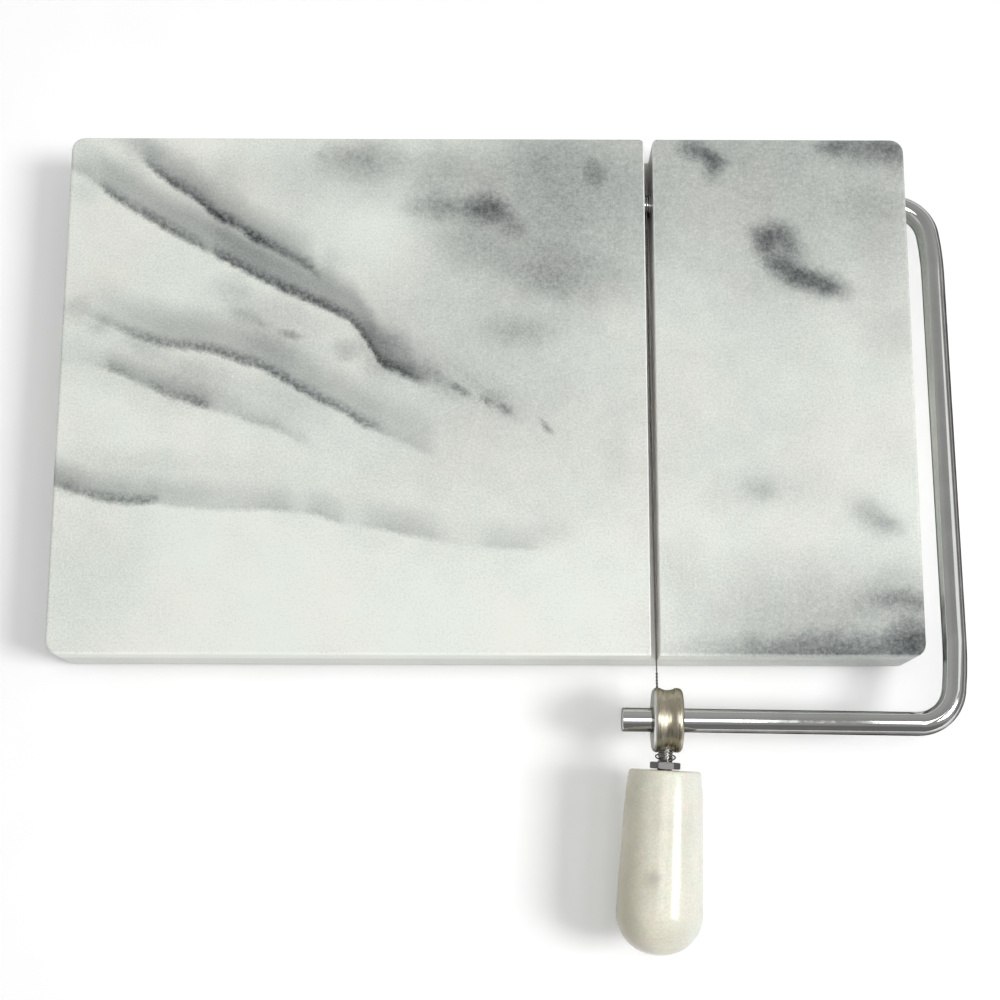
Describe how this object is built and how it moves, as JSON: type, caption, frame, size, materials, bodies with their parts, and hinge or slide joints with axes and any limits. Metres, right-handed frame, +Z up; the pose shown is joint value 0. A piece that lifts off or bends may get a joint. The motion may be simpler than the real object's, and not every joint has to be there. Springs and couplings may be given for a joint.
{
  "type": "cheese slicer board",
  "caption": "Marble slab with a sawn slot and a hinged rod bow that carries a taut cutting wire and a turned marble handle.",
  "frame": {"origin": "centre of the marble slab's cutting face, 21.5 mm above the table that the feet stand on", "axes": "+X to the right along the slab's long side, +Y to the back where the hinge is, +Z up"},
  "size_m": [0.2135, 0.1939, 0.03],
  "materials": {
    "white_marble": "honed white marble with grey veins",
    "cream_marble": "polished cream marble",
    "chromed_rod": "bright chrome plate",
    "nickel_collar": "bright nickel plate",
    "plain_steel": "bare stainless steel",
    "brass_insert": "turned brass",
    "foot_rubber": "matt rubber"
  },
  "bodies": {
    "board": {"marble_board": "white_marble", "foot_front_left": "foot_rubber", "foot_front_right": "foot_rubber", "foot_rear_left": "foot_rubber", "foot_rear_right": "foot_rubber"},
    "bow": {"bow_rod": "chromed_rod", "wire_collar": "nickel_collar", "cutting_wire": "plain_steel"},
    "screw_travel": {"handle_insert": "brass_insert"},
    "handle": {"marble_handle": "cream_marble", "handle_nut": "plain_steel", "clamp_stud": "plain_steel"}
  },
  "joints": [
    {"name": "bow_hinge", "type": "hinge", "parent": "board", "child": "bow", "pos_m": [0, 0.0497, -0.0095], "axis": [-1, 0, 0], "range_deg": [0, 176]},
    {"name": "handle_advance", "type": "slide", "parent": "bow", "child": "screw_travel", "axis": [-0.0482, -0.9954, -0.0825], "range_m": [0, 0.0024]},
    {"name": "handle_turn", "type": "hinge", "parent": "screw_travel", "child": "handle", "pos_m": [0.0414, -0.07826, 0.00119], "axis": [-0.0482, -0.9954, -0.0825], "range_deg": [0, 1440]}
  ],
  "couplings": [
    {"joint": "handle_turn", "follows": "handle_advance", "rad_per_m": 10472}
  ]
}
